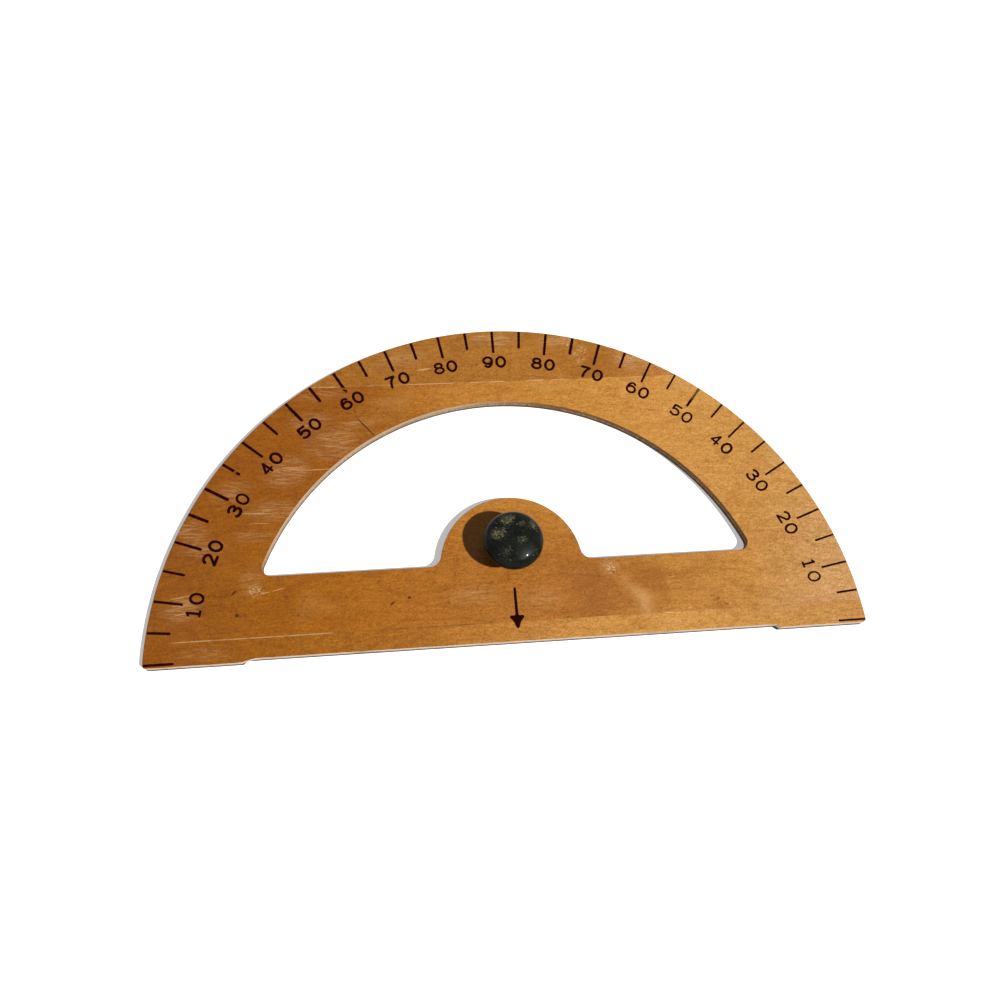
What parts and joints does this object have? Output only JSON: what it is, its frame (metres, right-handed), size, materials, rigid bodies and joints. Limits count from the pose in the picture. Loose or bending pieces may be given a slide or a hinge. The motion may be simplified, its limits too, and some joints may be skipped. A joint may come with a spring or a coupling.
{
  "type": "blackboard protractor",
  "caption": "Half-round plywood protractor for drawing angles on a blackboard, with an open centre, an ink degree scale and a turned knob.",
  "frame": {"origin": "the vertex of the angles, on the ruling edge, in the plane of the back face", "axes": "+X along the ruling edge towards the right end as the face is read, +Y from the ruling edge towards the arc, +Z out of the printed face, on the knob's side"},
  "size_m": [0.381, 0.1922, 0.029],
  "materials": {
    "face_wood": "old amber varnish, satin, worn",
    "core_wood": "sawn ply edge under varnish",
    "back_wood": "old varnish, worn where it rubs",
    "knob_paint": "dark paint on turned wood, worn",
    "screw_steel": "dull, aged",
    "ink": "printed ink"
  },
  "bodies": {
    "plate": {"face_leaf_lower": "face_wood", "face_leaf_middle": "face_wood", "face_leaf_upper": "face_wood", "core_left": "core_wood", "core_middle": "core_wood", "core_right": "core_wood", "back_leaf_lower": "back_wood", "back_leaf_upper": "back_wood", "ten_degree_lines": "ink", "five_degree_lines": "ink", "numerals": "ink", "vertex_arrow": "ink"},
    "grip": {"knob": "knob_paint", "knob_screw": "screw_steel"}
  },
  "joints": [
    {"name": "grip_turn", "type": "hinge", "parent": "plate", "child": "grip", "pos_m": [0, 0.0507, 0.006], "axis": [0, 0, 1], "continuous": true}
  ]
}
